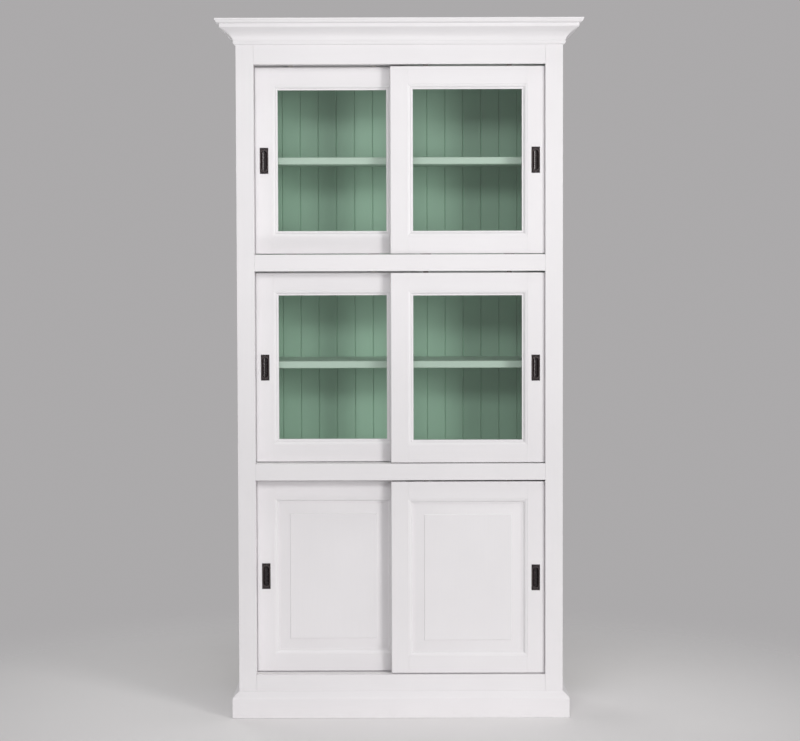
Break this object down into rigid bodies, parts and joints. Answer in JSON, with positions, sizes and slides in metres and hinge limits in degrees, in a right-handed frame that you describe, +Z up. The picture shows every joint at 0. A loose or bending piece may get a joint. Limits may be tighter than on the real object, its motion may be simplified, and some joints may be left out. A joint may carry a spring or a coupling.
{
  "type": "kitchen cupboard",
  "caption": "Tall free-standing painted kitchen cupboard with tiers of sliding doors, glazed above and panelled below, under a mitred cornice and on a bevelled plinth.",
  "frame": {"origin": "middle of the cupboard's outer box on the floor", "axes": "+X to the right seen from the front, +Y to the back, +Z up"},
  "size_m": [1.12, 0.42, 2.146],
  "materials": {
    "white_paint": "satin white paint on wood",
    "green_paint": "satin pale mint green paint on wood",
    "clear_glass": "clear float glass",
    "dark_bronze": "dark bronze",
    "brown_nylon": "grey-brown nylon",
    "white_plastic": "off-white plastic channel",
    "steel": "plain steel"
  },
  "bodies": {
    "carcass": {"left_side": "white_paint", "right_side": "white_paint", "left_face_stile": "white_paint", "right_face_stile": "white_paint", "bottom_face_rail": "white_paint", "lower_face_rail": "white_paint", "upper_face_rail": "white_paint", "top_face_rail": "white_paint", "top_board": "white_paint", "lower_floor": "green_paint", "lower_shelf": "green_paint", "middle_floor": "green_paint", "middle_shelf": "green_paint", "upper_floor": "green_paint", "upper_shelf": "green_paint", "shelf_bearers": "green_paint", "back_boards": "green_paint", "top_tracks": "white_paint", "bottom_tracks": "white_plastic", "door_stops": "white_paint", "cornice_front": "white_paint", "cornice_left": "white_paint", "cornice_right": "white_paint", "plinth_front": "white_paint", "plinth_left": "white_paint", "plinth_right": "white_paint"},
    "lower_left_door": {"lower_left_door_stiles": "white_paint", "lower_left_door_rails": "white_paint", "lower_left_door_panel": "white_paint", "lower_left_door_pull": "dark_bronze", "lower_left_door_runners": "brown_nylon"},
    "lower_right_door": {"lower_right_door_stiles": "white_paint", "lower_right_door_rails": "white_paint", "lower_right_door_panel": "white_paint", "lower_right_door_pull": "dark_bronze", "lower_right_door_runners": "brown_nylon"},
    "middle_left_door": {"middle_left_door_stiles": "white_paint", "middle_left_door_rails": "white_paint", "middle_left_door_pane": "clear_glass", "middle_left_door_beads": "white_paint", "middle_left_door_pull": "dark_bronze", "middle_left_door_runners": "brown_nylon"},
    "middle_right_door": {"middle_right_door_stiles": "white_paint", "middle_right_door_rails": "white_paint", "middle_right_door_pane": "clear_glass", "middle_right_door_beads": "white_paint", "middle_right_door_pull": "dark_bronze", "middle_right_door_runners": "brown_nylon"},
    "upper_left_door": {"upper_left_door_stiles": "white_paint", "upper_left_door_rails": "white_paint", "upper_left_door_pane": "clear_glass", "upper_left_door_beads": "white_paint", "upper_left_door_pull": "dark_bronze", "upper_left_door_runners": "brown_nylon"},
    "upper_right_door": {"upper_right_door_stiles": "white_paint", "upper_right_door_rails": "white_paint", "upper_right_door_pane": "clear_glass", "upper_right_door_beads": "white_paint", "upper_right_door_pull": "dark_bronze", "upper_right_door_runners": "brown_nylon"}
  },
  "joints": [
    {"name": "lower_left_door_slide", "type": "slide", "parent": "carcass", "child": "lower_left_door", "axis": [1, 0, 0], "range_m": [0, 0.4163]},
    {"name": "lower_right_door_slide", "type": "slide", "parent": "carcass", "child": "lower_right_door", "axis": [1, 0, 0], "range_m": [-0.4163, 0]},
    {"name": "middle_left_door_slide", "type": "slide", "parent": "carcass", "child": "middle_left_door", "axis": [1, 0, 0], "range_m": [0, 0.4163]},
    {"name": "middle_right_door_slide", "type": "slide", "parent": "carcass", "child": "middle_right_door", "axis": [1, 0, 0], "range_m": [-0.4163, 0]},
    {"name": "upper_left_door_slide", "type": "slide", "parent": "carcass", "child": "upper_left_door", "axis": [1, 0, 0], "range_m": [0, 0.4163]},
    {"name": "upper_right_door_slide", "type": "slide", "parent": "carcass", "child": "upper_right_door", "axis": [1, 0, 0], "range_m": [-0.4163, 0]}
  ]
}
